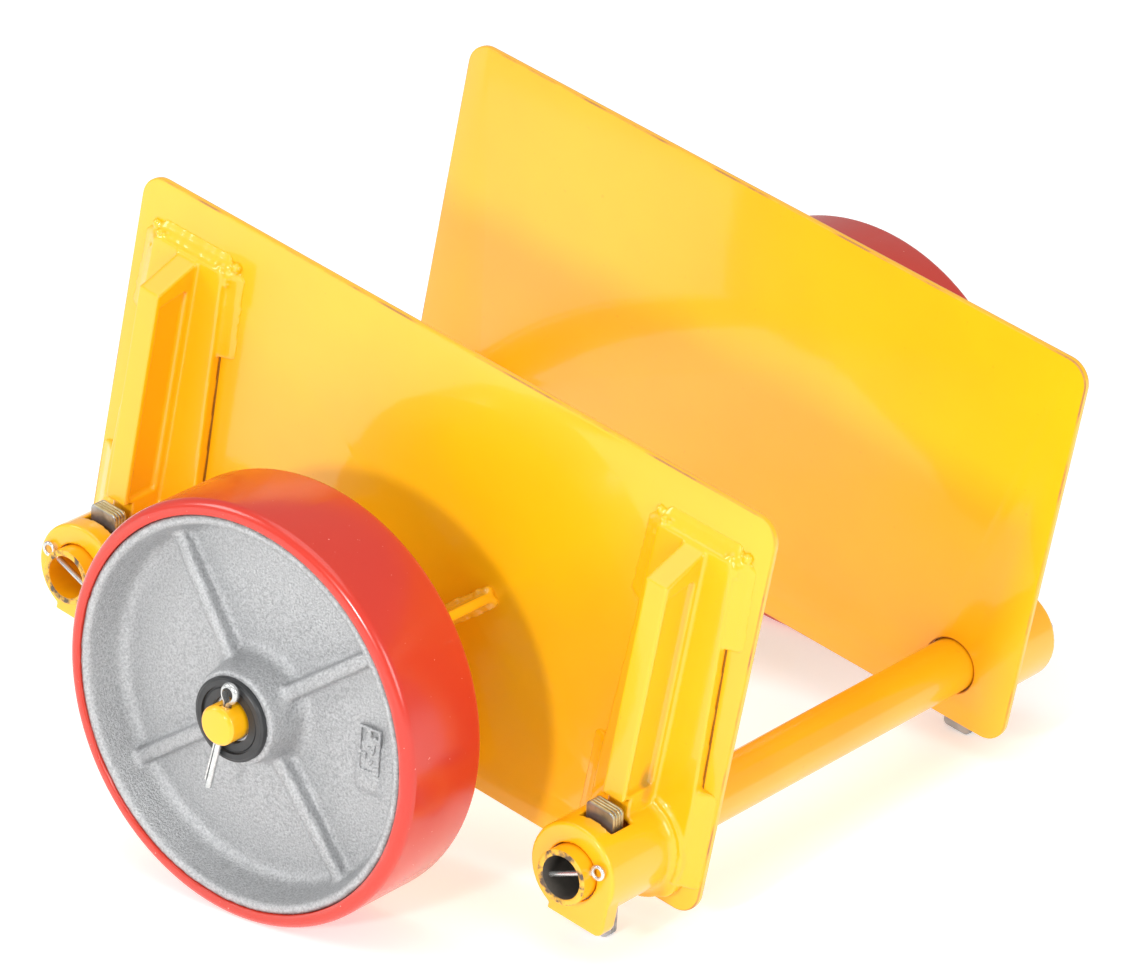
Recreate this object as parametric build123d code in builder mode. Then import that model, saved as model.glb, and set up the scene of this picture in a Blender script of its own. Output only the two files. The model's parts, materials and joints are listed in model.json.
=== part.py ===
from build123d import *
import math
import os

# Adjustable panel dolly: two upright plates slide on two pipes and are held by
# pipe-clamp heads, and one wheel runs outside each plate. Sizes are in mm.
# The pieces are drawn level: X runs along the plates, Y across the dolly, and the
# origin is under the middle of the near plate's outer face. The near side faces -Y.
# The dolly is then tipped about its axles until its clutch plates meet the floor.

# plates
plate_length = 375.0
plate_height = 209.0
plate_thickness = 3.4
plate_corner_radius = 12.0
plate_gap = 233.0

# pipes and the pins in their ends
pipe_radius = 13.35
pipe_wall = 2.87
pipe_spacing = 302.0
pipe_height = 27.0
pipe_overhang = 8.0
pipe_clearance = 0.6
pin_radius = 1.3
pin_hole_clearance = 0.15
pin_ring_gap = 0.8
pin_eye_radius = 2.9
pin_eye_wire = 0.9
pin_tail = 3.0
right_pin_angle = 30.0
left_pin_angle = 163.0

# clamp head
pad_thickness = 6.0
pad_top = 157.0
pad_bottom = 22.0
pad_half_width_top = 21.5
pad_half_width_low = 27.0
pad_taper_end = 30.0
jaw_half_width = 6.2
jaw_depth = 30.5
jaw_top_back = 155.0
jaw_top_front = 145.0
flange_thickness = 3.2
web_half_width = 3.6
web_rim = 3.5
web_foot_gap = 3.4
housing_wall = 3.2
cavity_clearance = 1.8
housing_length = 50.5
housing_flare = 5.0
ring_thickness = 8.5
floor_thickness = 9.0
foot_depth = 1.1
foot_left = 9.0
foot_inset = 1.0
foot_corner_radius = 5.0
edge_break = 0.8

# clutch
clutch_count = 4
clutch_thickness = 1.9
clutch_gap = 0.03
clutch_tilt = 11.5
clutch_release = 8.5
clutch_middle = 28.4
clutch_tab_width = 16.0
clutch_tab_radius = 3.0
clutch_stand_up = 7.1
clutch_stand_down = 21.5
clutch_hole_clearance = 0.75
clutch_rim = 4.4
window_clearance = 1.4
slot_half_width = 15.5
spring_radius = 2.9
spring_wire_radius = 0.45
spring_turns = 4.0
spring_gap = 0.25
spring_pipe_gap = 1.2

# wheel
wheel_radius = 101.6
wheel_width = 50.8
tread_thickness = 6.9
tread_edge_radius = 4.5
wheel_standoff = 87.6
rim_lip = 4.6
rim_draft = 5.0
hub_overhang = 2.2
hub_wall = 5.2
hub_draft = 3.5
web_thickness_hub = 14.0
web_thickness_rim = 11.0
web_fillet = 6.0
rib_count = 4
rib_half_width = 3.6
rib_rise_hub = 9.0
rib_rise_rim = 6.0
mark_radius = 63.0
mark_height = 24.0
mark_width = 13.0
mark_rise = 0.9

# axle and bearing
axle_height = 52.5
axle_radius = 9.525
axle_chamfer = 1.5
axle_tip_gap = 6.0
running_clearance = 0.05
sleeve_wall = 3.2
roller_radius = 2.2
roller_length = 40.0
roller_count = 8
roller_clearance = 0.08
cage_half_wall = 0.7
cage_overlength = 3.0
seal_inset = 2.3
seal_thickness = 3.0
seal_hole_clearance = 1.7
seal_spigot_length = 2.6
seal_spigot_wall = 2.4
collar_wall = 5.5
collar_thickness = 4.4
wheel_end_play = 0.4
axle_pin_radius = 1.9
axle_pin_hole_clearance = 0.2
axle_pin_gap = 0.9
axle_pin_eye_radius = 3.6
axle_pin_eye_wire = 1.2
axle_pin_tail = 27.0
gusset_thickness = 4.8
gusset_reach = 68.0
gusset_straight = 34.0
gusset_shoulder = 22.0
weld_gap = 0.15

# values that follow
dolly_width = plate_gap + 2 * plate_thickness
pipe_hole_radius = pipe_radius + pipe_clearance
pipe_end = housing_length + pipe_overhang
pin_place = housing_length + pin_ring_gap + pin_radius
core_radius = wheel_radius - tread_thickness
hub_length = wheel_width + 2 * hub_overhang
sleeve_radius = axle_radius + running_clearance + sleeve_wall
roller_orbit = sleeve_radius + roller_clearance + roller_radius
hub_bore_radius = roller_orbit + roller_radius + roller_clearance
hub_face_radius = hub_bore_radius + hub_wall
seal_radius = hub_face_radius - seal_inset
seal_hole_radius = axle_radius + seal_hole_clearance
collar_radius = axle_radius + collar_wall
hub_outer_face = wheel_standoff + hub_length / 2
hub_inner_face = wheel_standoff - hub_length / 2
seal_outer_face = hub_outer_face + seal_thickness
collar_face = hub_inner_face - seal_thickness - wheel_end_play
axle_pin_place = seal_outer_face + axle_pin_gap + axle_pin_radius
axle_length = axle_pin_place + axle_tip_gap
clutch_hole_radius = pipe_radius + clutch_hole_clearance
clutch_body_radius = clutch_hole_radius + clutch_rim
clutch_pitch = clutch_thickness + clutch_gap
clutch_pack = clutch_count * clutch_pitch
cavity_radius = clutch_body_radius + cavity_clearance
housing_radius = cavity_radius + housing_wall
clutch_top = housing_radius + clutch_stand_up
clutch_bottom = housing_radius + clutch_stand_down
web_pocket_foot = clutch_top + web_foot_gap
foot_drop = housing_radius + foot_depth
foot_right = housing_radius - foot_inset
tilt = math.radians(clutch_tilt)
released = math.radians(clutch_tilt - clutch_release)
spring_drop = pipe_radius + spring_pipe_gap + spring_radius + spring_wire_radius

pieces = []


def keep(shape, name):
    shape.label = name
    pieces.append(shape)


def at_far_side(shape):
    return Location((0, dolly_width, 0), (0, 0, 180)) * shape


def clutch_front(height, angle, side):
    """Y of the pack's face, counted out from the plate, at a height on the pipe's axis."""
    return clutch_middle + math.tan(angle) * height + side * clutch_pack / 2 / math.cos(angle)


# ---- plates ----
with BuildPart() as plate:
    with BuildSketch(Plane.XZ) as outline:
        with Locations((0, plate_height / 2)):
            RectangleRounded(plate_length, plate_height, plate_corner_radius)
        with Locations((-pipe_spacing / 2, pipe_height), (pipe_spacing / 2, pipe_height)):
            Circle(pipe_hole_radius, mode=Mode.SUBTRACT)
    extrude(amount=-plate_thickness)
keep(plate.part, "near_plate")
keep(at_far_side(plate.part), "far_plate")

# ---- clamp head, drawn round the pipe's axis, on the plate's outer face ----
window_front = clutch_front(clutch_top, tilt, 1) + window_clearance
window_back = clutch_front(clutch_top, released, -1) - window_clearance
slot_back = floor_thickness + edge_break
ring_back = housing_length - ring_thickness

with BuildPart() as head:
    with BuildSketch(Plane.XZ) as pad:
        with BuildLine():
            Polyline(
                (-pad_half_width_top, pad_top),
                (pad_half_width_top, pad_top),
                (pad_half_width_low, pad_taper_end),
                (pad_half_width_low, -pad_bottom),
                (-pad_half_width_low, -pad_bottom),
                (-pad_half_width_low, pad_taper_end),
                close=True,
            )
        make_face()
        fillet(pad.vertices().group_by(Axis.Y)[0], pad_bottom / 2)
        fillet(pad.vertices().group_by(Axis.Y)[-1], edge_break * 4)
    extrude(amount=pad_thickness)

    # jaw: a deep bar on the pad, its top edge sloping down to the front
    with BuildSketch(Plane.YZ):
        with BuildLine():
            Polyline(
                (-pad_thickness / 2, 0),
                (-pad_thickness / 2, jaw_top_back),
                (-pad_thickness, jaw_top_back),
                (-jaw_depth, jaw_top_front),
                (-jaw_depth, 0),
                close=True,
            )
        make_face()
    extrude(amount=jaw_half_width, both=True)

    # housing with a flare at the pad
    with BuildSketch(Plane.XY):
        with BuildLine():
            Polyline(
                (0, 0),
                (housing_radius + housing_flare, -pad_thickness / 2),
                (housing_radius + housing_flare, -pad_thickness),
            )
            RadiusArc(
                (housing_radius + housing_flare, -pad_thickness),
                (housing_radius, -pad_thickness - housing_flare),
                -housing_flare,
            )
            Polyline(
                (housing_radius, -pad_thickness - housing_flare),
                (housing_radius, edge_break - housing_length),
                (housing_radius - edge_break, -housing_length),
                (0, -housing_length),
                (0, 0),
            )
        make_face()
    revolve(axis=Axis.Y)

    # foot: the ring is squared off below on one side
    with BuildSketch(Plane.XZ.offset(ring_back)) as foot:
        with BuildLine():
            Polyline(
                (-foot_left, 0),
                (foot_right, 0),
                (foot_right, -foot_drop),
                (-foot_left, -foot_drop),
                close=True,
            )
        make_face()
        fillet(foot.vertices().group_by(Axis.Y)[0].sort_by(Axis.X)[-1], foot_corner_radius)
    extrude(amount=ring_thickness)

    # recess in each side of the jaw
    for side in (-1, 1):
        with BuildSketch(Plane.YZ.offset(side * web_half_width)) as recess:
            with BuildLine():
                Polyline(
                    (-pad_thickness - web_rim, web_pocket_foot),
                    (-pad_thickness - web_rim, jaw_top_front - web_rim),
                    (flange_thickness - jaw_depth, jaw_top_front - 2 * web_rim),
                    (flange_thickness - jaw_depth, web_pocket_foot),
                    close=True,
                )
            make_face()
            fillet(recess.vertices(), web_rim / 2)
        extrude(amount=side * jaw_half_width, mode=Mode.SUBTRACT)

    # clutch cavity, pipe bore, window above and slot below
    with BuildSketch(Plane.XZ.offset(floor_thickness)):
        Circle(cavity_radius)
    extrude(amount=ring_back - floor_thickness, mode=Mode.SUBTRACT)
    with BuildSketch(Plane.XZ):
        Circle(pipe_hole_radius)
    extrude(amount=housing_length, mode=Mode.SUBTRACT)
    with BuildSketch(Plane.XY):
        with Locations((0, -(window_front + window_back) / 2)):
            Rectangle(clutch_tab_width + 2 * window_clearance, window_front - window_back)
    extrude(amount=clutch_top + window_clearance, mode=Mode.SUBTRACT)
    with BuildSketch(Plane.XY.offset(-foot_drop - edge_break)):
        with Locations((0, -(ring_back + slot_back) / 2)):
            Rectangle(2 * slot_half_width, ring_back - slot_back)
    extrude(amount=foot_drop, mode=Mode.SUBTRACT)


def clutch_plate(number):
    """One clutch plate, tilted so that it grips the pipe."""
    offset_along = (number - (clutch_count + 1) / 2) * clutch_pitch / math.cos(tilt)
    plane = Plane(
        origin=(0, -clutch_middle - offset_along, 0),
        x_dir=(1, 0, 0),
        z_dir=(0, -math.cos(tilt), -math.sin(tilt)),
    )
    with BuildPart() as plate_piece:
        with BuildSketch(plane):
            with Locations((0, (clutch_top - clutch_bottom) / 2)):
                RectangleRounded(clutch_tab_width, clutch_top + clutch_bottom, clutch_tab_radius)
            Circle(clutch_body_radius)
            Circle(clutch_hole_radius, mode=Mode.SUBTRACT)
        extrude(amount=clutch_thickness / 2, both=True)
    return plate_piece.part


# spring between the ring and the lower half of the clutch plates
spring_seat = ring_back - spring_gap - spring_wire_radius
spring_tip = clutch_front(-spring_drop + spring_radius, tilt, 1) + spring_gap + 3 * spring_wire_radius
spring_length = spring_seat - spring_tip

with BuildPart() as spring:
    with BuildLine():
        coil = Helix(
            pitch=spring_length / spring_turns,
            height=spring_length,
            radius=spring_radius,
            center=(0, -spring_seat, -spring_drop),
            direction=(0, 1, 0),
        )
    with BuildSketch(Plane(origin=coil @ 0, z_dir=coil % 0)):
        Circle(spring_wire_radius)
    sweep()

clutch_plates = [clutch_plate(number) for number in range(1, clutch_count + 1)]
for hand, across in (("left", -1), ("right", 1)):
    seat = Location((across * pipe_spacing / 2, 0, pipe_height))
    # the far side is the near side turned half round, so its heads change hands
    turned = Location((-across * pipe_spacing / 2, 0, pipe_height))
    keep(seat * head.part, f"near_{hand}_clamp_head")
    keep(at_far_side(turned * head.part), f"far_{hand}_clamp_head")
    keep(seat * spring.part, f"near_{hand}_clutch_spring")
    keep(at_far_side(turned * spring.part), f"far_{hand}_clutch_spring")
    for number, piece in enumerate(clutch_plates, 1):
        keep(seat * piece, f"near_{hand}_clutch_plate_{number}")
        keep(at_far_side(turned * piece), f"far_{hand}_clutch_plate_{number}")


def split_pin(radius, eye_radius, eye_wire, above, below):
    """A split pin along Z: an eye above, and a tail cut to length below."""
    eye_height = above + eye_radius + eye_wire + pin_hole_clearance
    with BuildPart() as pin:
        with BuildSketch(Plane.XY.offset(-below)):
            Circle(radius)
        extrude(amount=eye_height - eye_radius + below)
        with BuildSketch(Plane.XY.offset(eye_height)):
            with Locations((eye_radius, 0)):
                Circle(eye_wire)
        revolve(axis=Axis((0, 0, eye_height), (0, 1, 0)))
    return pin.part


# ---- pipes and the pins through their ends ----
for hand, across, pin_angle in (("left", -1, left_pin_angle), ("right", 1, right_pin_angle)):
    lean = Rotation(0, 90 - pin_angle, 0)
    pin_hole = Location((0, 0, 0)) * lean
    with BuildPart() as pipe:
        with BuildSketch(Plane.XZ.offset(pipe_end)):
            Circle(pipe_radius)
            Circle(pipe_radius - pipe_wall, mode=Mode.SUBTRACT)
        extrude(amount=-(dolly_width + 2 * pipe_end))
        for place in (-pin_place, dolly_width + pin_place):
            with Locations(Location((0, place, 0)) * pin_hole):
                Cylinder(pin_radius + pin_hole_clearance, 3 * pipe_radius, mode=Mode.SUBTRACT)
    seat = Location((across * pipe_spacing / 2, 0, pipe_height))
    keep(seat * pipe.part, f"{hand}_pipe")
    pin = split_pin(pin_radius, pin_eye_radius, pin_eye_wire, pipe_radius, pipe_radius + pin_tail)
    for side, place in (("near", -pin_place), ("far", dolly_width + pin_place)):
        keep(seat * Location((0, place, 0)) * lean * pin, f"{side}_{hand}_pipe_pin")

# ---- axle, gussets and thrust collar ----
with BuildPart() as axle:
    with BuildSketch(Plane.XZ):
        Circle(axle_radius)
    extrude(amount=axle_length)
    chamfer(axle.faces().sort_by(Axis.Y)[0].edges(), axle_chamfer)
    with Locations(Location((0, -axle_pin_place, 0))):
        Cylinder(axle_pin_radius + axle_pin_hole_clearance, 3 * axle_radius, mode=Mode.SUBTRACT)

gusset_end = collar_face - collar_thickness
with BuildPart() as gussets:
    for turn in range(4):
        angle = math.radians(45 + 90 * turn)
        along = Vector(math.cos(angle), 0, math.sin(angle))
        with BuildSketch(Plane(origin=(0, 0, 0), x_dir=along, z_dir=along.cross(Vector(0, 1, 0)))):
            with BuildLine():
                Polyline(
                    (axle_radius + weld_gap, 0),
                    (gusset_reach, 0),
                    (gusset_reach, -gusset_straight),
                    (gusset_shoulder, -gusset_end),
                    (axle_radius + weld_gap, -gusset_end),
                    close=True,
                )
            make_face()
        extrude(amount=gusset_thickness / 2, both=True)

with BuildPart() as collar:
    with BuildSketch(Plane.XZ.offset(gusset_end)):
        Circle(collar_radius)
        Circle(axle_radius + running_clearance, mode=Mode.SUBTRACT)
    extrude(amount=collar_thickness)

# ---- wheel: cast core, tread and bearing, drawn round the axle's axis ----
half_width = wheel_width / 2
web_foot_radius = hub_face_radius + hub_draft
web_end_radius = core_radius - rim_lip - rim_draft
with BuildPart() as core:
    with BuildSketch(Plane.XY) as section:
        with BuildLine():
            Polyline(
                (hub_bore_radius, -hub_length / 2),
                (hub_face_radius, -hub_length / 2),
                (web_foot_radius, -web_thickness_hub / 2),
                (web_end_radius, -web_thickness_rim / 2),
                (core_radius - rim_lip, -half_width),
                (core_radius, -half_width),
                (core_radius, half_width),
                (core_radius - rim_lip, half_width),
                (web_end_radius, web_thickness_rim / 2),
                (web_foot_radius, web_thickness_hub / 2),
                (hub_face_radius, hub_length / 2),
                (hub_bore_radius, hub_length / 2),
                close=True,
            )
        make_face()
        web_corners = section.vertices().filter_by(lambda v: abs(v.Y) < web_thickness_hub / 2 + 1)
        fillet(web_corners, web_fillet)
    revolve(axis=Axis.Y)
    for turn in range(rib_count):
        angle = math.radians(45 + 360 / rib_count * turn)
        along = Vector(math.cos(angle), 0, math.sin(angle))
        with BuildSketch(Plane(origin=(0, 0, 0), x_dir=along, z_dir=along.cross(Vector(0, 1, 0)))):
            with BuildLine():
                Polyline(
                    (hub_face_radius - 1, -web_thickness_hub / 2 - rib_rise_hub),
                    (core_radius - rim_lip + 1, -web_thickness_rim / 2 - rib_rise_rim),
                    (core_radius - rim_lip + 1, web_thickness_rim / 2 + rib_rise_rim),
                    (hub_face_radius - 1, web_thickness_hub / 2 + rib_rise_hub),
                    close=True,
                )
            make_face()
        extrude(amount=rib_half_width, both=True)
    # plain cast pad on the outer side of the web
    with BuildSketch(Plane.XZ):
        with Locations(Location((mark_radius, 0), 8)):
            Rectangle(mark_width, mark_height)
    extrude(amount=web_thickness_rim / 2 + mark_rise + 1)

with BuildPart() as tread:
    with BuildSketch(Plane.XY) as tread_section:
        with Locations((core_radius + tread_thickness / 2, 0)):
            Rectangle(tread_thickness, wheel_width)
        fillet(tread_section.vertices().group_by(Axis.X)[-1], tread_edge_radius)
    revolve(axis=Axis.Y)

with BuildPart() as sleeve:
    with BuildSketch(Plane.XZ.offset(-hub_length / 2 + wheel_end_play)):
        Circle(sleeve_radius)
        Circle(axle_radius + running_clearance, mode=Mode.SUBTRACT)
    extrude(amount=hub_length - 2 * wheel_end_play)

with BuildPart() as rollers:
    with BuildSketch(Plane.XZ.offset(-roller_length / 2)):
        with PolarLocations(roller_orbit, roller_count):
            Circle(roller_radius)
    extrude(amount=roller_length)

cage_length = roller_length + cage_overlength
with BuildPart() as cage:
    with BuildSketch(Plane.XZ.offset(-cage_length / 2)):
        Circle(roller_orbit + cage_half_wall)
        Circle(roller_orbit - cage_half_wall, mode=Mode.SUBTRACT)
    extrude(amount=cage_length)
    with BuildSketch(Plane.XZ.offset(-roller_length / 2 - roller_clearance)):
        with PolarLocations(roller_orbit, roller_count):
            Circle(roller_radius + roller_clearance)
    extrude(amount=roller_length + 2 * roller_clearance, mode=Mode.SUBTRACT)


def bearing_seal(side):
    """Black washer on the hub's face, with a spigot in the bore. side is -1 for the outer one."""
    spigot_radius = hub_bore_radius - running_clearance
    with BuildPart() as seal:
        with BuildSketch(Plane.XZ.offset(-side * hub_length / 2)):
            Circle(seal_radius)
            Circle(seal_hole_radius, mode=Mode.SUBTRACT)
        extrude(amount=-side * seal_thickness)
        with BuildSketch(Plane.XZ.offset(-side * hub_length / 2)):
            Circle(spigot_radius)
            Circle(spigot_radius - seal_spigot_wall, mode=Mode.SUBTRACT)
        extrude(amount=side * seal_spigot_length)
    return seal.part


axle_seat = Location((0, 0, axle_height))
wheel_seat = Location((0, -wheel_standoff, axle_height))
axle_pin = split_pin(
    axle_pin_radius, axle_pin_eye_radius, axle_pin_eye_wire, axle_radius, axle_radius + axle_pin_tail
)
side_pieces = (
    ("axle", axle_seat * axle.part),
    ("axle_gussets", axle_seat * gussets.part),
    ("thrust_collar", axle_seat * collar.part),
    ("bearing_sleeve", wheel_seat * sleeve.part),
    ("wheel_core", wheel_seat * core.part),
    ("tread", wheel_seat * tread.part),
    ("bearing_rollers", wheel_seat * rollers.part),
    ("roller_cage", wheel_seat * cage.part),
    ("outer_seal", wheel_seat * bearing_seal(-1)),
    ("inner_seal", wheel_seat * bearing_seal(1)),
    ("axle_pin", axle_seat * Location((0, -axle_pin_place, 0)) * axle_pin),
)
for name, piece in side_pieces:
    keep(piece, f"near_{name}")
    keep(at_far_side(piece), f"far_{name}")


# ---- stance: tipped about the axles until something meets the floor ----
def touch_angle(reach, drop, round_radius):
    """Tip, in degrees, at which a rounded corner beyond and below the axle meets the floor."""
    distance = math.hypot(reach, drop)
    return math.degrees(math.asin((wheel_radius - round_radius) / distance) - math.atan2(drop, reach))


pipe_drop = axle_height - pipe_height
clutch_drop = clutch_bottom * math.cos(tilt) + clutch_thickness / 2 * math.sin(tilt)
corner_reach = (pipe_spacing + clutch_tab_width) / 2 - clutch_tab_radius
corner_drop = pipe_drop + clutch_drop - clutch_tab_radius
tip = min(
    touch_angle(corner_reach, corner_drop, clutch_tab_radius),
    touch_angle(pipe_spacing / 2 + foot_right, pipe_drop + foot_drop, 0),
    touch_angle(
        plate_length / 2 - plate_corner_radius, axle_height - plate_corner_radius, plate_corner_radius
    ),
)
stance = Location((0, 0, wheel_radius)) * Rotation(0, tip, 0) * Location((0, 0, -axle_height))
standing = Compound(children=[stance * piece for piece in pieces]).bounding_box()
shift = Location((-(standing.min.X + standing.max.X) / 2, -dolly_width / 2, -standing.min.Z))
place = shift * stance

os.makedirs("parts", exist_ok=True)
for piece in pieces:
    placed = place * piece
    placed.label = piece.label
    export_step(placed, f"parts/{piece.label}.step")
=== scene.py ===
# Panel dolly: two plates on a pair of clamp pipes, with a wheel outside each plate.
import json
import math
import random

import bmesh
import bpy
from mathutils import Matrix, Vector


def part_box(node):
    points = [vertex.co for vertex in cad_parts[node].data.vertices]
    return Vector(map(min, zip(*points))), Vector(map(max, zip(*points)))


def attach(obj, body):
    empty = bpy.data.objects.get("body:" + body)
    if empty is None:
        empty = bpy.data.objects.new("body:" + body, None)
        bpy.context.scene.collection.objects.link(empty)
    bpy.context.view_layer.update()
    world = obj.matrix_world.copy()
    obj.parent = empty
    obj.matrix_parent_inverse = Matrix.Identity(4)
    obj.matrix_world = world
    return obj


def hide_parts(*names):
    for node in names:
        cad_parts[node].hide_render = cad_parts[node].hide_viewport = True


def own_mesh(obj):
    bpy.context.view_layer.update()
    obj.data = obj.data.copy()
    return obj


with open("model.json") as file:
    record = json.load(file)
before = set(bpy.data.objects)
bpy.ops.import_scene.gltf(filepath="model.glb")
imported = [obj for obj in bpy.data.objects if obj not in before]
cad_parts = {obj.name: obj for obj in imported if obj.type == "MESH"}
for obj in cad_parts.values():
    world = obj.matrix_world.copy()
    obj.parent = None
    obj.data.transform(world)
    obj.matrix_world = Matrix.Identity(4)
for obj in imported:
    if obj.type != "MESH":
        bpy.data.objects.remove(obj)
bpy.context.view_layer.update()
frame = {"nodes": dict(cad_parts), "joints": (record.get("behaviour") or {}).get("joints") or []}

nodes = frame["nodes"]
joints = {joint["name"]: joint for joint in frame["joints"]}
scene = bpy.context.scene
sides = ("near", "far")
hands = ("left", "right")
mm = 0.001

# The dolly stands tipped about its axles, so parts are made in their own upright frame and then placed.
axlePlace = Vector(joints["near_wheel_spin"]["pos_m"])
releaseAxis = joints["near_left_clutch_release"]["axis"]
tip = Matrix.Rotation(math.atan2(releaseAxis[2], -releaseAxis[0]), 4, "Y")
halfTurn = Matrix.Rotation(math.pi, 4, "Z")
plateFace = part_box("far_plate")[1].y


def sideFrame(side, place):
    # on the plate's outer face with -Y outward, x and z through the given place
    outer = -plateFace if side == "near" else plateFace
    turned = tip if side == "near" else tip @ halfTurn
    return Matrix.Translation((place[0], outer, place[2])) @ turned


axleFrames = {side: sideFrame(side, axlePlace) for side in sides}
headFrames = {
    (side, hand): sideFrame(side, joints[f"{side}_{hand}_clutch_release"]["pos_m"])
    for side in sides
    for hand in hands
}


# ---- camera and light ----
view = {
    "place": (1.8830, -2.3650, 1.4109),
    "turn": (67.261, -0.154, 38.596),
    "lens": 224.40,
    "shift": (-0.0160, -0.0096),
}
camera = bpy.data.objects.new("camera", bpy.data.cameras.new("camera"))
camera.location = view["place"]
camera.rotation_euler = [math.radians(angle) for angle in view["turn"]]
camera.data.lens = view["lens"]
camera.data.shift_x, camera.data.shift_y = view["shift"]
scene.collection.objects.link(camera)
scene.camera = camera
scene.view_settings.view_transform = "Standard"

studio = {
    "sky": 0.5,
    "lamps": {
        # name: place, size, watts
        "keyLamp": ((0.55, -3.1, 1.25), 0.3, 43),
        "leftBox": ((-1.9, -1.9, 1.6), 1.0, 21),
        "overheadBox": ((0.1, -0.3, 2.2), 1.8, 15),
        "rightBox": ((2.2, -0.8, 1.0), 1.0, 19),
    },
    "target": (0, 0, 0.1),
    "floorGlow": 0.42,
}


def aimLamp(name, place, size, watts):
    lamp = bpy.data.objects.new(name, bpy.data.lights.new(name, "AREA"))
    lamp.data.shape = "SQUARE"
    lamp.data.size = size
    lamp.data.energy = watts
    lamp.location = place
    aim = Vector(studio["target"]) - Vector(place)
    lamp.rotation_euler = aim.to_track_quat("-Z", "Y").to_euler()
    scene.collection.objects.link(lamp)


for lampName, (place, size, watts) in studio["lamps"].items():
    aimLamp(lampName, place, size, watts)
world = bpy.data.worlds.new("studioSky")
world.use_nodes = True
world.node_tree.nodes["Background"].inputs["Color"].default_value = (1, 1, 1, 1)
world.node_tree.nodes["Background"].inputs["Strength"].default_value = studio["sky"]
scene.world = world
print("camera and light are set")


# ---- materials ----
def srgb(hexText):
    channels = [int(hexText[i : i + 2], 16) / 255 for i in (1, 3, 5)]
    return [c / 12.92 if c <= 0.04045 else ((c + 0.055) / 1.055) ** 2.4 for c in channels] + [1]


def addNode(tree, kind, sockets, **settings):
    node = tree.nodes.new("ShaderNode" + kind)
    for name, value in settings.items():
        setattr(node, name, value)
    for name, value in sockets.items():
        if isinstance(value, bpy.types.NodeSocket):
            tree.links.new(value, node.inputs[name])
        else:
            node.inputs[name].default_value = value
    return node


def startMaterial(name, finish):
    material = bpy.data.materials.new(name)
    material.use_nodes = True
    tree = material.node_tree
    shader = tree.nodes["Principled BSDF"]
    for socket, value in finish.items():
        shader.inputs[socket].default_value = value
    place = addNode(tree, "TexCoord", {}).outputs["Object"]
    return material, tree, shader, place


def noise(tree, place, size, detail, roughness=0.5):
    # a cloudy pattern of this many millimetres across
    sockets = {"Vector": place, "Scale": 1 / (size * mm), "Detail": detail, "Roughness": roughness}
    return addNode(tree, "TexNoise", sockets).outputs[0]


def ramp(tree, value, low, high, top=1.0):
    # from 0 to top as the value goes from low to high
    sockets = {"Value": value, "From Min": low, "From Max": high, "To Max": top}
    return addNode(tree, "MapRange", sockets).outputs[0]


def blend(tree, share, base, over):
    # sockets 0, 6 and 7 are the factor and the two colours
    return addNode(tree, "Mix", {0: share, 6: base, 7: over}, data_type="RGBA").outputs[2]


def relief(tree, shader, height, strength, depth):
    # small relief in the skin, its depth in millimetres
    bump = addNode(tree, "Bump", {"Height": height, "Strength": strength, "Distance": depth * mm})
    tree.links.new(bump.outputs[0], shader.inputs["Normal"])
    return bump.outputs[0]


# a greenish oil smear, longer than it is wide
oilSmear = {
    "place": (3.6, -12.5, 35),
    "stretch": (1.0, 0.9, 0.36),
    "edge": 4.6,
    "middle": 1.6,
    "strength": 0.65,
    "tint": "#6E7038",
}


def makeEnamel(name, bright, deep, thin, smudge=None):
    # safety-yellow enamel sprayed over welded steel: high gloss, faint orange peel, pooled and thin patches
    material, tree, shader, place = startMaterial(
        name, {"Roughness": 0.34, "Coat Weight": 0.7, "Coat Roughness": 0.07, "Coat IOR": 1.5}
    )
    drift = noise(tree, place, 70, 3.0)
    patch = ramp(tree, drift, 0.35, 0.7)
    cloudy = blend(tree, patch, srgb(bright), srgb(deep))
    nib = ramp(tree, noise(tree, place, 3, 4.0), 0.69, 0.74)
    nibShare = addNode(tree, "Math", {0: nib, 1: 0.3}, operation="MULTIPLY").outputs[0]
    colour = blend(tree, nibShare, cloudy, srgb(thin))
    if smudge:
        spot = addNode(tree, "VectorMath", {0: place, 1: smudge}, operation="SUBTRACT").outputs[0]
        stretched = {0: spot, 1: oilSmear["stretch"]}
        reach = addNode(tree, "VectorMath", stretched, operation="MULTIPLY").outputs[0]
        far = addNode(tree, "VectorMath", {0: reach}, operation="LENGTH").outputs["Value"]
        smear = ramp(tree, far, oilSmear["edge"] * mm, oilSmear["middle"] * mm, oilSmear["strength"])
        colour = blend(tree, smear, colour, srgb(oilSmear["tint"]))
    tree.links.new(colour, shader.inputs["Base Color"])
    ripple = relief(tree, shader, noise(tree, place, 4.5, 2.0), 0.35, 0.05)
    tree.links.new(ripple, shader.inputs["Coat Normal"])
    return material


yellow = ("#FFBC06", "#FFB404", "#EF9A0C")
yellowEnamel = makeEnamel("yellowEnamel", *yellow)
pipeEnamel = makeEnamel("pipeEnamel", "#FEB60A", "#F8AC08", "#CC8010")


def makeWornEdge(name, painted, bare, size):
    # cut steel under thin enamel: the paint draws back from the arris and leaves it tan or bare in places
    material, tree, shader, place = startMaterial(name, {"Roughness": 0.4})
    worn = ramp(tree, noise(tree, place, size, 7.0), 0.46, 0.62)
    tree.links.new(blend(tree, worn, srgb(painted), srgb(bare)), shader.inputs["Base Color"])
    return material


shearedEdge = makeWornEdge("shearedEdge", "#F6B21C", "#B5803F", 30)
sawnPipe = makeWornEdge("sawnPipe", "#F0B83A", "#5C4E3E", 4)


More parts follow.
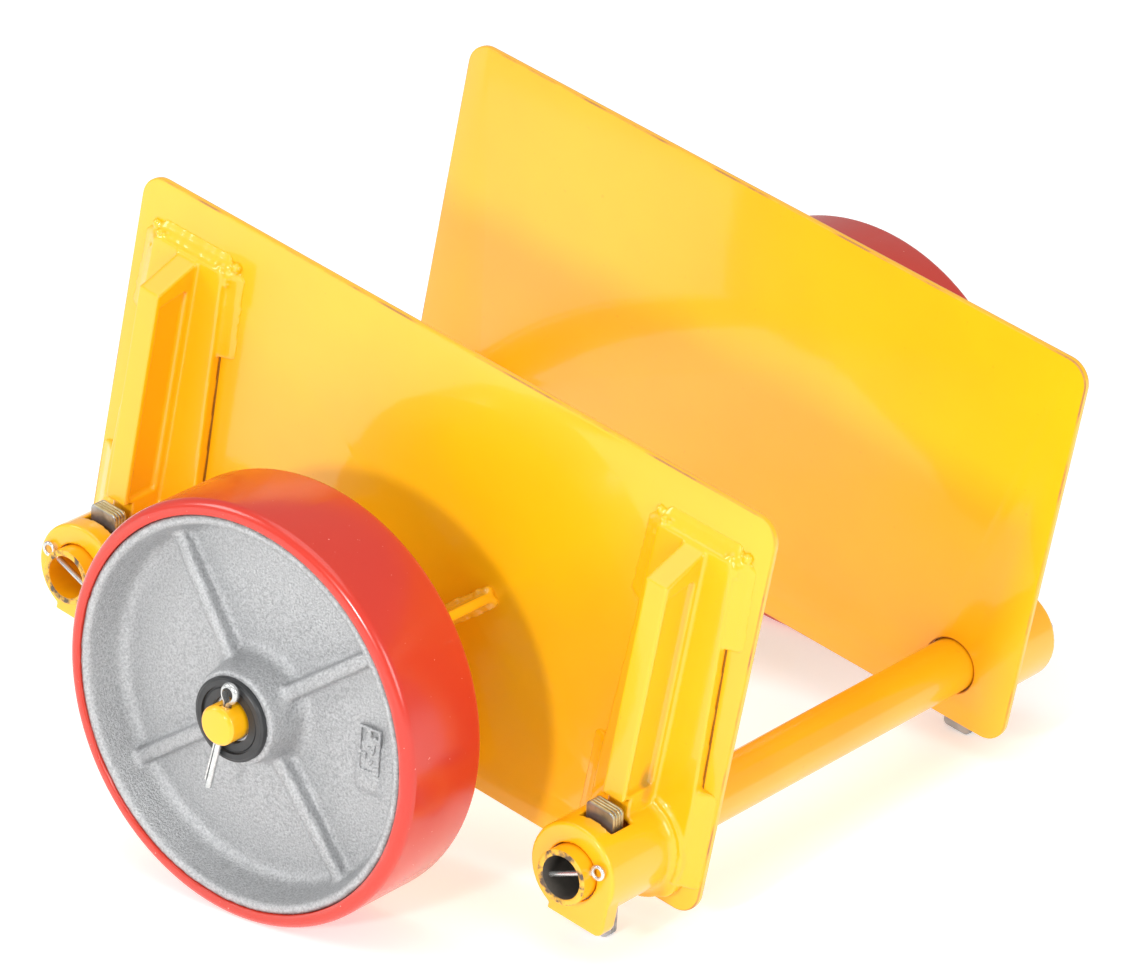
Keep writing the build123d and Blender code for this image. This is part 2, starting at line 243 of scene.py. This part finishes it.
def makeUrethane():
    # cast polyurethane tyre: glossy and a little translucent, with trapped specks and light scuffs
    material, tree, shader, place = startMaterial(
        "redUrethane",
        {
            "Roughness": 0.24,
            "IOR": 1.5,
            "Subsurface Weight": 0.2,
            "Subsurface Radius": (0.006, 0.0012, 0.0008),
            "Subsurface Scale": 1.0,
            "Coat Weight": 0.3,
            "Coat Roughness": 0.15,
        },
    )
    drift = noise(tree, place, 55, 2.0)
    dust = ramp(tree, noise(tree, place, 1.6, 1.0), 0.79, 0.83)
    body = blend(tree, drift, srgb("#CD3722"), srgb("#C53023"))
    tree.links.new(blend(tree, dust, body, srgb("#F2A090")), shader.inputs["Base Color"])
    relief(tree, shader, noise(tree, place, 9, 2.0), 0.2, 0.06)
    return material


redUrethane = makeUrethane()


casting = {"sand": 1.1, "depth": 0.7, "chip": 5, "ragged": 3.4, "rim": (94.2, 97.2), "rimShare": 0.85}


def makeCasting():
    # grey iron, sand cast and sprayed with aluminium paint: coarse sparkling grain, chipped round the rim
    material, tree, shader, place = startMaterial("castIron", {"Metallic": 0.75, "Roughness": 0.38})
    sand = noise(tree, place, casting["sand"], 4.0, 0.7)
    tone = blend(tree, ramp(tree, sand, 0.36, 0.6), srgb("#A3A4A6"), srgb("#C9CACB"))
    flat = {"Vector": place, "Location": (-axlePlace.x, 0, -axlePlace.z), "Scale": (1, 0, 1)}
    centred = addNode(tree, "Mapping", flat).outputs[0]
    radius = addNode(tree, "VectorMath", {0: centred}, operation="LENGTH").outputs["Value"]
    wander = {0: noise(tree, place, casting["chip"], 5.0), 1: casting["ragged"] * mm, 2: radius}
    ragged = addNode(tree, "Math", wander, operation="MULTIPLY_ADD").outputs[0]
    first, last = casting["rim"]
    seam = ramp(tree, ragged, first * mm, last * mm, casting["rimShare"])
    tree.links.new(blend(tree, seam, tone, srgb("#4A4642")), shader.inputs["Base Color"])
    relief(tree, shader, sand, 1.0, casting["depth"])
    return material


castIron = makeCasting()


def makeZinc(name, pale, tint, spread, roughness):
    # zinc plating, clear or yellow passivated: soft metal shine with cloudy tints
    material, tree, shader, place = startMaterial(name, {"Metallic": 0.8, "Roughness": roughness})
    share = ramp(tree, noise(tree, place, spread, 3.0), 0.35, 0.65)
    tree.links.new(blend(tree, share, srgb(pale), srgb(tint)), shader.inputs["Base Color"])
    relief(tree, shader, noise(tree, place, 0.7, 2.0), 0.2, 0.05)
    return material


platedClutch = makeZinc("platedClutch", "#D2CAA4", "#A69A72", 7, 0.32)
platedSpring = makeZinc("platedSpring", "#B8B9BA", "#8F9092", 5, 0.35)
platedPin = makeZinc("platedPin", "#E2E3E2", "#C6C8C7", 4, 0.26)
clearZinc = makeZinc("clearZinc", "#B6B9BC", "#8C9093", 7, 0.35)
groundSteel = makeZinc("groundSteel", "#C8C9CA", "#AFB0B2", 6, 0.2)


def makePlain(name, dark, light, size, roughness, depth):
    # dull skin with a faint mottle: rubber, nylon, the painted shade of the pad gaps, pipe scale and the
    # floor
    material, tree, shader, place = startMaterial(name, {"Roughness": roughness})
    mottle = noise(tree, place, size, 4.0)
    tree.links.new(blend(tree, mottle, srgb(dark), srgb(light)), shader.inputs["Base Color"])
    relief(tree, shader, mottle, 0.3, depth)
    return material


sealRubber = makePlain("sealRubber", "#1B1C1D", "#3A3B3D", 6, 0.38, 0.1)
cageNylon = makePlain("cageNylon", "#2A2A2B", "#3C3C3D", 4, 0.5, 0.05)
# painted shade: dark brown for the shaded gap beside each clamp pad
gapShadeStrip = makePlain("gapShadeStrip", "#6E4210", "#A86C14", 3, 0.7, 0.05)
studioFloor = makePlain("studioFloor", "#F2F2F0", "#F6F6F5", 400, 0.75, 0.01)
# the sweep is lit from beneath, which keeps shadows faint
floorShader = studioFloor.node_tree.nodes["Principled BSDF"]
floorShader.inputs["Emission Color"].default_value = (1, 1, 1, 1)
floorShader.inputs["Emission Strength"].default_value = studio["floorGlow"]
boreScale = makePlain("boreScale", "#33302D", "#6A645C", 8, 0.6, 0.2)
print("materials are mixed")


# ---- tools for making pieces ----
def nodeCopy(name, seat):
    # a merged copy of the node's mesh, moved into the upright frame it was drawn in
    bm = bmesh.new()
    bm.from_mesh(nodes[name].data)
    bmesh.ops.remove_doubles(bm, verts=bm.verts, dist=0.001 * mm)
    bmesh.ops.transform(bm, matrix=seat.inverted(), verts=bm.verts)
    return bm


def finishPiece(bm, name, body, material, sharp=35, replaced=None):
    mesh = bpy.data.meshes.new(name)
    bm.to_mesh(mesh)
    bm.free()
    return seatPiece(mesh, name, body, material, sharp, replaced)


def seatPiece(mesh, name, body, material, sharp=35, replaced=None):
    for entry in material if isinstance(material, (list, tuple)) else (material,):
        mesh.materials.append(entry)
    mesh.shade_smooth()
    mesh.set_sharp_from_angle(angle=math.radians(sharp))
    piece = bpy.data.objects.new(name, mesh)
    scene.collection.objects.link(piece)
    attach(piece, body)
    if replaced:
        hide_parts(replaced)
    return piece


def bakeModifiers(piece):
    # the shape with its modifiers, as a new plain mesh
    bpy.context.view_layer.update()
    shaped = piece.evaluated_get(bpy.context.evaluated_depsgraph_get())
    mesh = bpy.data.meshes.new_from_object(shaped)
    bpy.data.objects.remove(piece)
    return mesh


def skinOver(bm, pitch, passes):
    # melts overlapping solids into one skin with soft inner and outer corners
    mesh = bpy.data.meshes.new("raw")
    bm.to_mesh(mesh)
    bm.free()
    raw = bpy.data.objects.new("raw", mesh)
    scene.collection.objects.link(raw)
    remesh = raw.modifiers.new("remesh", "REMESH")
    remesh.mode = "VOXEL"
    remesh.voxel_size = pitch
    remesh.use_smooth_shade = True
    smooth = raw.modifiers.new("smooth", "SMOOTH")
    smooth.factor = 0.5
    smooth.iterations = passes
    return bakeModifiers(raw)


bead = {"step": 0.55, "swell": (0.86, 1.1), "stray": 0.12}
fillet = {"step": 2.4, "endTaper": 0.75, "swell": (0.965, 1.035), "root": -1.5, "sink": -0.8}


def weldRun(bm, points, radius, chance):
    # overlapping lumps along a line, as a stick weld lays them
    for start, end in zip(points, points[1:]):
        start, end = Vector(start) * mm, Vector(end) * mm
        steps = max(1, round((end - start).length / (radius * bead["step"] * mm)))
        for i in range(steps + 1):
            swell = chance.uniform(*bead["swell"])
            centre = start.lerp(end, i / steps)
            stray = bead["stray"]
            centre += Vector([chance.uniform(-stray, stray) * radius * mm for _ in range(3)])
            bmesh.ops.create_icosphere(
                bm, subdivisions=2, radius=radius * swell * mm, matrix=Matrix.Translation(centre)
            )


def weldFillet(bm, start, end, out, rise, spread, chance):
    # a three-sided seam of weld from start to end, swelling a little with every pass of the rod
    start, end, out = Vector(start) * mm, Vector(end) * mm, Vector(out)
    steps = max(2, round((end - start).length / (fillet["step"] * mm)))
    rings = []
    for i in range(steps + 1):
        taper = fillet["endTaper"] if i in (0, steps) else 1
        swell = taper * chance.uniform(*fillet["swell"])
        foot = start.lerp(end, i / steps)
        root, sink = fillet["root"], fillet["sink"]
        section = (
            (root, rise * swell),
            (spread * 0.22, rise * 0.72 * swell),
            (spread * 0.6, rise * 0.27 * swell),
            (spread * swell, 0.0),
            (spread * 0.9, sink),
            (root, sink),
        )
        verts = [bm.verts.new(foot + (out * a + Vector((0, -b, 0))) * mm) for a, b in section]
        rings.append([bm.edges.new((verts[k - 1], verts[k])) for k in range(len(verts))])
    faces = bmesh.ops.holes_fill(bm, edges=rings[0] + rings[-1])["faces"]
    for here, there in zip(rings, rings[1:]):
        faces += bmesh.ops.bridge_loops(bm, edges=here + there)["faces"]
    bmesh.ops.recalc_face_normals(bm, faces=faces)


def spinRing(corners, centre, steps):
    # a closed outline of radius and y, in metres, turned once round the centre
    bm = bmesh.new()
    ring = [bm.verts.new((centre[0] + radius, y, centre[2])) for radius, y in corners]
    edges = [bm.edges.new((ring[i - 1], ring[i])) for i in range(len(ring))]
    bmesh.ops.spin(
        bm, geom=ring + edges, cent=centre, axis=(0, 1, 0),
        angle=2 * math.pi, steps=steps, use_merge=True, use_duplicate=False,
    )
    bmesh.ops.remove_doubles(bm, verts=bm.verts, dist=0.01 * mm)
    bmesh.ops.recalc_face_normals(bm, faces=bm.faces)
    return bm


def softenEdges(piece, width, segments=3, strip=-1):
    bevel = piece.modifiers.new("edge", "BEVEL")
    bevel.width = width * mm
    bevel.segments = segments
    bevel.limit_method = "ANGLE"
    bevel.angle_limit = math.radians(30)
    bevel.use_clamp_overlap = False
    bevel.harden_normals = True
    bevel.material = strip


def refineNode(name, body, material, width, segments=3, strip=-1):
    # the CAD part with its flats made whole and its corners broken
    bm = nodeCopy(name, Matrix())
    bmesh.ops.dissolve_limit(bm, angle_limit=math.radians(0.2), verts=bm.verts, edges=bm.edges)
    piece = finishPiece(bm, f"{name}_piece", body, material, 180, name)
    softenEdges(piece, width, segments, strip)
    return piece


# ---- plates ----
plate = {"edgeBreak": 0.7}
for side in sides:
    paints = (yellowEnamel, shearedEdge)
    refineNode(f"{side}_plate", f"{side}_side", paints, plate["edgeBreak"], strip=1)
print("plates are made")


# ---- clamp heads ----
clampHead = {
    "pitch": 0.8,
    "passes": 3,
    "padTop": 157.0,
    "padLow": 30.0,
    "padBottom": -22.0,
    "padHalfTop": 21.5,
    "padHalfLow": 27.0,
    "gapTop": 113.0,
    "gapLow": 39.0,
    "lowStop": 10,
    "rise": 5.4,
    "spread": 9.0,
    "topSpread": 7.5,
    "footSpread": 5,
    "footHalf": 16,
    "toeLump": 2.6,
    "toeOffset": (3.2, -0.4, 2.6),
    "cornerLump": 1.15,
    "cornerCount": 14,
    "cornerAcross": (-5, 2),
    "cornerOut": -4.2,
    "cornerDown": (-2, 9),
    "flareRadius": 27.2,
    "flareBead": 1.15,
    "flareArc": (-20, 72),
    "flareCount": 12,
    "flareOut": -6.4,
    "seed": 7,
}


def padHalf(height):
    share = (height - clampHead["padLow"]) / (clampHead["padTop"] - clampHead["padLow"])
    share = min(max(share, 0), 1)
    return clampHead["padHalfLow"] + share * (clampHead["padHalfTop"] - clampHead["padHalfLow"])


def addHeadWelds(bm):
    chance = random.Random(clampHead["seed"])
    top, low, bottom = clampHead["padTop"], clampHead["gapLow"], clampHead["padBottom"]
    rise, spread = clampHead["rise"], clampHead["spread"]
    first, last = clampHead["flareArc"]
    for hand in (-1, 1):
        for upper, lower in ((top, clampHead["gapTop"]), (low, bottom + clampHead["lowStop"])):
            ends = [(hand * padHalf(height), 0, height) for height in (upper, lower)]
            weldFillet(bm, *ends, (hand, 0, 0), rise, spread, chance)
        aside, out, up = clampHead["toeOffset"]
        toe = (hand * (padHalf(top) + aside), out, top + up)
        weldRun(bm, [toe, toe], clampHead["toeLump"], chance)
        for _ in range(clampHead["cornerCount"]):
            across = hand * (padHalf(top) + chance.uniform(*clampHead["cornerAcross"]))
            place = (across, clampHead["cornerOut"], top - chance.uniform(*clampHead["cornerDown"]))
            weldRun(bm, [place, place], clampHead["cornerLump"], chance)
        arc = []
        reach, count = clampHead["flareRadius"], clampHead["flareCount"]
        for i in range(count):
            angle = math.radians(first + i / (count - 1) * (last - first))
            arc.append((hand * reach * math.cos(angle), clampHead["flareOut"], reach * math.sin(angle)))
        inside = [point for point in arc if abs(point[0]) < padHalf(point[2]) and point[2] > bottom]
        weldRun(bm, inside, clampHead["flareBead"], chance)
    for half, height, up, reach in (
        (padHalf(top), top, 1, clampHead["topSpread"]),
        (clampHead["footHalf"], bottom, -1, clampHead["footSpread"]),
    ):
        weldFillet(bm, (-half, 0, height), (half, 0, height), (0, 0, up), rise, reach, chance)


smearPlace = headFrames["near", "right"] @ (Vector(oilSmear["place"]) * mm)
smearedEnamel = makeEnamel("smearedEnamel", *yellow, smearPlace)
headShape = nodeCopy("near_right_clamp_head", headFrames["near", "right"])
addHeadWelds(headShape)
headMesh = skinOver(headShape, clampHead["pitch"] * mm, clampHead["passes"])
print("clamp head skin:", len(headMesh.polygons), "faces")
for (side, hand), seat in headFrames.items():
    mesh = headMesh.copy()
    mesh.transform(seat)
    name = f"{side}_{hand}_clamp_head"
    paint = smearedEnamel if (side, hand) == ("near", "right") else yellowEnamel
    seatPiece(mesh, f"{name}_piece", f"{side}_side", paint, 180, name)

# the unwelded stretch between pad and plate gets a thin dark brown strip: painted shade of the narrow gap
# there
seam = {"half": 0.2, "depth": 0.6, "aside": 0.25, "overlap": 2, "round": 0.08}
for (side, hand), seat in headFrames.items():
    bm = bmesh.new()
    for edge in (-1, 1):
        ends = [
            Vector((edge * (padHalf(height) + seam["aside"]), -seam["depth"] / 2, height))
            for height in (clampHead["gapLow"] - seam["overlap"], clampHead["gapTop"] + seam["overlap"])
        ]
        run = ends[1] - ends[0]
        lean = run.to_track_quat("Z", "Y").to_matrix().to_4x4()
        size = Matrix.Diagonal((2 * seam["half"] * mm, seam["depth"] * mm, run.length * mm, 1))
        middle = Matrix.Translation((ends[0] + ends[1]) / 2 * mm)
        bmesh.ops.create_cube(bm, size=1, matrix=middle @ lean @ size)
    bmesh.ops.bevel(
        bm, geom=bm.edges[:], offset=seam["round"] * mm,
        segments=2, profile=0.5, affect="EDGES", material=-1,
    )
    bmesh.ops.transform(bm, matrix=seat, verts=bm.verts)
    finishPiece(bm, f"{side}_{hand}_pad_gap_shade", f"{side}_side", gapShadeStrip)
print("clamp heads are made")


# ---- gussets and their welds ----
gusset = {
    "pitch": 0.9,
    "passes": 5,
    "half": 2.4,
    "start": 14,
    "reach": 66.0,
    "bead": 2.6,
    "footGap": (0.6, 0.8),
    "rootGap": (0.4, 0.8),
    "rootBead": 0.8,
    "rootStart": 2,
    "axle": 9.5,
    "end": 50.0,
    "seed": 11,
}


def addGussetWelds(bm):
    chance = random.Random(gusset["seed"])
    footAside, footOut = gusset["footGap"]
    rootAside, rootOff = gusset["rootGap"]
    for quarter in range(4):
        angle = math.radians(45 + 90 * quarter)
        along = Vector((math.cos(angle), 0, math.sin(angle)))
        across = Vector((-math.sin(angle), 0, math.cos(angle)))
        out = Vector((0, -1, 0))
        for hand in (-1, 1):
            foot = across * hand * (gusset["half"] + footAside) + out * footOut
            footLine = [along * gusset["start"] + foot, along * gusset["reach"] + foot]
            weldRun(bm, footLine, gusset["bead"], chance)
            root = across * hand * (gusset["half"] + rootAside) + along * (gusset["axle"] + rootOff)
            rootLine = [root + out * gusset["rootStart"], root + out * gusset["end"]]
            weldRun(bm, rootLine, gusset["bead"] * gusset["rootBead"], chance)


gussetShape = nodeCopy("near_axle_gussets", axleFrames["near"])
addGussetWelds(gussetShape)
gussetMesh = skinOver(gussetShape, gusset["pitch"] * mm, gusset["passes"])
print("gusset skin:", len(gussetMesh.polygons), "faces")
for side in sides:
    mesh = gussetMesh.copy()
    mesh.transform(axleFrames[side])
    name = f"{side}_axle_gussets"
    seatPiece(mesh, f"{name}_piece", f"{side}_side", yellowEnamel, 180, name)
print("gussets are made")


# ---- axles, collars and bearings ----
for side in sides:
    body = f"{side}_side"
    refineNode(f"{side}_axle", body, yellowEnamel, 0.4)
    refineNode(f"{side}_thrust_collar", body, yellowEnamel, 0.4)
    refineNode(f"{side}_bearing_sleeve", body, groundSteel, 0.3)
    for name in (f"{side}_bearing_rollers", f"{side}_roller_cage"):
        nodes[name].data.materials.clear()
        nodes[name].data.materials.append(groundSteel if "rollers" in name else cageNylon)
print("axles are made")


# ---- wheels ----
wheel = {"pitch": 1.3, "passes": 6}
coreShape = nodeCopy("near_wheel_core", axleFrames["near"])
coreMesh = skinOver(coreShape, wheel["pitch"] * mm, wheel["passes"])
print("wheel core skin:", len(coreMesh.polygons), "faces")

# worn foundry pad: a lumpy frame round scattered nicks, nothing readable
castMark = {
    "reach": 63.0,
    "turn": 8.0,
    "face": -95.0,
    "sunk": 0.1,
    "half": (5.4, 10.8),
    "nicks": 17,
    "nickLong": 1.6,
    "nickArea": (0.8, 0.9),
    "stray": 0.4,
    "lump": 0.85,
    "pitch": 0.45,
    "passes": 2,
    "seed": 23,
}


def makeCastMark():
    chance = random.Random(castMark["seed"])
    wide, tall = castMark["half"]
    frameLine = [(-wide, -tall), (wide, -tall), (wide, tall), (-wide, tall), (-wide, -tall)]
    strokes = [frameLine]
    count, long, stray = castMark["nicks"], castMark["nickLong"], castMark["stray"]
    acrossShare, upShare = castMark["nickArea"]
    for i in range(count):
        start = (chance.uniform(-wide, wide) * acrossShare, tall * (2 * (i + 0.5) / count - 1) * upShare)
        angle = chance.uniform(0, math.pi)
        strokes.append([start, (start[0] + long * math.cos(angle), start[1] + long * math.sin(angle))])
    bm = bmesh.new()
    depth = castMark["face"] - castMark["sunk"]
    for stroke in strokes:
        line = [(x + chance.uniform(-stray, stray), depth, z) for x, z in stroke]
        weldRun(bm, line, castMark["lump"], chance)
    turn = Matrix.Rotation(-math.radians(castMark["turn"]), 4, "Y")
    bmesh.ops.transform(bm, matrix=turn @ Matrix.Translation((castMark["reach"] * mm, 0, 0)), verts=bm.verts)
    return skinOver(bm, castMark["pitch"] * mm, castMark["passes"])


# black bearing seal: a ring with a stepped lip round the axle, and a spigot into the hub
seal = {
    "thick": 3.0,
    "hole": 11.225,
    "lip": 15.4,
    # steps outward from the lip, then inward from the rim: distance and depth
    "lipSteps": ((-0.4, 0.9), (0, 1.3), (0.5, 1.3), (0.8, 0)),
    "rimSteps": ((1.5, 0), (1.1, 0.35), (0.3, 0.45), (0, 0.9)),
    "holeDepth": 0.9,
    "spigot": 17.285,
    "spigotWall": 2.4,
    "spigotLong": 2.6,
    "steps": 96,
}


def makeSeal(name, body, outward):
    low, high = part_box(name)
    edge = (high.x - low.x) / 2 / mm
    face = (low if outward < 0 else high).y
    spigot, thick = seal["spigot"], seal["thick"]
    spigotEnd, spigotHole = thick + seal["spigotLong"], spigot - seal["spigotWall"]
    corners = [(seal["hole"], seal["holeDepth"])]
    corners += [(seal["lip"] + out, depth) for out, depth in seal["lipSteps"]]
    corners += [(edge - inward, depth) for inward, depth in seal["rimSteps"]]
    corners += [(edge, thick), (spigot, thick), (spigot, spigotEnd)]
    corners += [(spigotHole, spigotEnd), (spigotHole, thick), (seal["hole"], thick)]
    outline = [(radius * mm, face - outward * depth * mm) for radius, depth in corners]
    bm = spinRing(outline, (axlePlace.x, 0, axlePlace.z), seal["steps"])
    finishPiece(bm, f"{name}_piece", body, sealRubber, 40, name)


markMesh = makeCastMark()
for side, outward in (("near", -1), ("far", 1)):
    body = f"{side}_wheel"
    mesh = coreMesh.copy()
    mesh.transform(axleFrames[side])
    name = f"{side}_wheel_core"
    seatPiece(mesh, f"{name}_piece", body, castIron, 180, name)
    refineNode(f"{side}_tread", body, redUrethane, 0.2, 1)
    makeSeal(f"{side}_outer_seal", body, outward)
    makeSeal(f"{side}_inner_seal", body, -outward)
    mesh = markMesh.copy()
    mesh.transform(axleFrames[side])
    seatPiece(mesh, f"{side}_cast_mark", body, castIron, 180)
print("wheels are made")


# ---- pipes ----
pipe = {"wall": 2.87, "steps": 96, "cutEdge": 0.45, "ragged": 0.35, "endFacing": 0.3, "seed": 5}


def makePipe(hand, bore):
    name = f"{hand}_pipe"
    low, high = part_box(name)
    axis = joints[f"near_{hand}_clutch_release"]["pos_m"]
    outer, wall, cut = (high.x - low.x) / 2, pipe["wall"] * mm, pipe["cutEdge"] * mm
    inner = outer - wall
    corners = [
        (outer, low.y + cut), (outer, high.y - cut), (outer - cut, high.y), (inner + cut, high.y),
        (inner, high.y - cut), (inner, low.y + cut), (inner + cut, low.y), (outer - cut, low.y),
    ]
    bm = spinRing(corners, (axis[0], 0, axis[2]), pipe["steps"])
    centre = Vector((axis[0], 0, axis[2]))
    for face in bm.faces:
        reach = face.calc_center_median() - centre
        reach.y = 0
        if abs(face.normal.y) > pipe["endFacing"]:
            face.material_index = 1
        elif reach.length < outer - wall / 2:
            face.material_index = 2
    # the saw leaves the cut end a little uneven
    chance = random.Random(pipe["seed"])
    for vert in bm.verts:
        if vert.co.y < low.y + cut / 2:
            vert.co.y += chance.uniform(0, pipe["ragged"]) * mm
        elif vert.co.y > high.y - cut / 2:
            vert.co.y -= chance.uniform(0, pipe["ragged"]) * mm
    finishPiece(bm, f"{name}_piece", name, (pipeEnamel, sawnPipe, bore), 40, name)


makePipe("left", pipeEnamel)
makePipe("right", boreScale)
print("pipes are made")


# ---- clutch plates and springs ----
clutch = {"edge": 0.75}
for (side, hand), seat in headFrames.items():
    for number in range(1, 5):
        name = f"{side}_{hand}_clutch_plate_{number}"
        body = f"{side}_{hand}_clutch"
        piece = refineNode(name, body, (platedClutch, clearZinc), clutch["edge"])
        # yellow passivation above the pipe, rubbed back to clear zinc below it
        toHead = seat.inverted()
        for face in piece.data.polygons:
            face.material_index = 1 if (toHead @ face.center).z < 0 else 0
print("clutch plates are made")

# coil spring between the housing's ring and the plates; a release shortens the real spring, but this piece
# keeps one length
spring = {"wire": 0.45, "wireSides": 12, "turns": 4, "stepsPerTurn": 32, "keep": 0.6}


def makeSpring(side, hand, seat):
    name = f"{side}_{hand}_clutch_spring"
    shape = nodeCopy(name, seat)
    low, high = [
        Vector([pick(vert.co[i] for vert in shape.verts) for i in range(3)]) for pick in (min, max)
    ]
    shape.free()
    wire, steps = spring["wire"] * mm, spring["turns"] * spring["stepsPerTurn"]
    centre = (low + high) / 2
    start, end = low.y + wire, high.y - wire
    bm = bmesh.new()
    stand = Matrix.Translation((high.x - wire, start, centre.z))
    coil = bmesh.ops.create_circle(bm, segments=spring["wireSides"], radius=wire, matrix=stand)["verts"]
    loop = coil + list({edge for vert in coil for edge in vert.link_edges})
    bmesh.ops.spin(
        bm, geom=loop, cent=(centre.x, start, centre.z), axis=(0, 1, 0),
        dvec=(0, (end - start) / steps, 0),
        angle=2 * math.pi * spring["turns"], steps=steps, use_merge=False, use_duplicate=False,
    )
    bmesh.ops.holes_fill(bm, edges=[edge for edge in bm.edges if edge.is_boundary])
    bmesh.ops.recalc_face_normals(bm, faces=bm.faces)
    bmesh.ops.transform(bm, matrix=seat, verts=bm.verts)
    piece = finishPiece(bm, f"{name}_piece", f"{side}_side", platedSpring, 50, name)
    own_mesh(piece)
    print(name, "length", round((high.y - low.y) / mm, 2), "mm")


for (side, hand), seat in headFrames.items():
    makeSpring(side, hand, seat)
print("clutch springs are made")


# ---- split pins ----
axlePin = {
    "wire": 1.85,
    "eye": 2.7,
    "legs": {"long": 47.0, "short": 43.5, "splay": 0.3},
    "gap": 0.12,
    "start": 11.2,
    "lean": -4,
    "outlinePoints": 9,
    "stepsPerPoint": 10,
}


def makeSplitPin(name, body, wire, eye, legs, seat):
    # half-round wire bent back on itself round an open eye; the local y axis runs along the pin
    outline = bpy.data.curves.new("outline", "CURVE")
    outline.dimensions = "2D"
    spline = outline.splines.new("POLY")
    count = axlePin["outlinePoints"]
    spline.points.add(count - 1)
    for i, point in enumerate(spline.points):
        angle = -math.pi / 2 + math.pi * i / (count - 1)
        point.co = (wire * mm * math.cos(angle), wire * mm * math.sin(angle), 0, 1)
    spline.use_cyclic_u = True
    profile = bpy.data.objects.new("outline", outline)
    scene.collection.objects.link(profile)
    path = bpy.data.curves.new(name, "CURVE")
    path.dimensions = "2D"
    path.resolution_u = axlePin["stepsPerPoint"]
    line = path.splines.new("NURBS")
    gap, splay = axlePin["gap"], legs["splay"]
    route = [
        (gap + splay, -legs["long"]), (gap + splay * 0.4, -legs["long"] * 0.6), (gap, -wire * 3), (gap, 0),
        (eye * 0.9, eye * 0.7), (eye * 1.25, eye * 1.9), (eye * 0.6, eye * 2.9), (-eye * 0.6, eye * 2.9),
        (-eye * 1.25, eye * 1.9), (-eye * 0.9, eye * 0.7), (-gap, 0), (-gap, -wire * 3),
        (-gap - splay * 0.4, -legs["short"] * 0.6), (-gap - splay, -legs["short"]),
    ]
    line.points.add(len(route) - 1)
    for point, (across, along) in zip(line.points, route):
        point.co = (across * mm, along * mm, 0, 1)
    line.order_u = 3
    line.use_endpoint_u = True
    path.bevel_mode = "OBJECT"
    path.bevel_object = profile
    path.use_fill_caps = True
    wireObject = bpy.data.objects.new(name, path)
    scene.collection.objects.link(wireObject)
    mesh = bakeModifiers(wireObject)
    bpy.data.objects.remove(profile)
    bm = bmesh.new()
    bm.from_mesh(mesh)
    bmesh.ops.remove_doubles(bm, verts=bm.verts, dist=0.01 * mm)
    bmesh.ops.recalc_face_normals(bm, faces=bm.faces)
    bmesh.ops.transform(bm, matrix=seat, verts=bm.verts)
    finishPiece(bm, f"{name}_piece", body, platedPin, 45, name)


for side in sides:
    name = f"{side}_axle_pin"
    low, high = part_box(name)
    middle = axleFrames[side].inverted() @ ((low + high) / 2)
    stand = Matrix.Translation((0, middle.y, axlePin["start"] * mm))
    upright = Matrix.Rotation(math.radians(90), 4, "X")
    lean = Matrix.Rotation(math.radians(axlePin["lean"]), 4, "Z")
    seat = axleFrames[side] @ stand @ (upright @ lean)
    makeSplitPin(name, f"{side}_side", axlePin["wire"], axlePin["eye"], axlePin["legs"], seat)
for hand in hands:
    for side in sides:
        name = f"{side}_{hand}_pipe_pin"
        nodes[name].data.materials.clear()
        nodes[name].data.materials.append(platedPin)
print("split pins are made")


# ---- floor ----
ground = {"size": 6.0, "cells": 8}
floorMesh = bmesh.new()
cells = ground["cells"]
bmesh.ops.create_grid(floorMesh, x_segments=cells, y_segments=cells, size=ground["size"])
mesh = bpy.data.meshes.new("floor")
floorMesh.to_mesh(mesh)
floorMesh.free()
mesh.materials.append(studioFloor)
floor = bpy.data.objects.new("floor", mesh)
scene.collection.objects.link(floor)

print("floor is made")
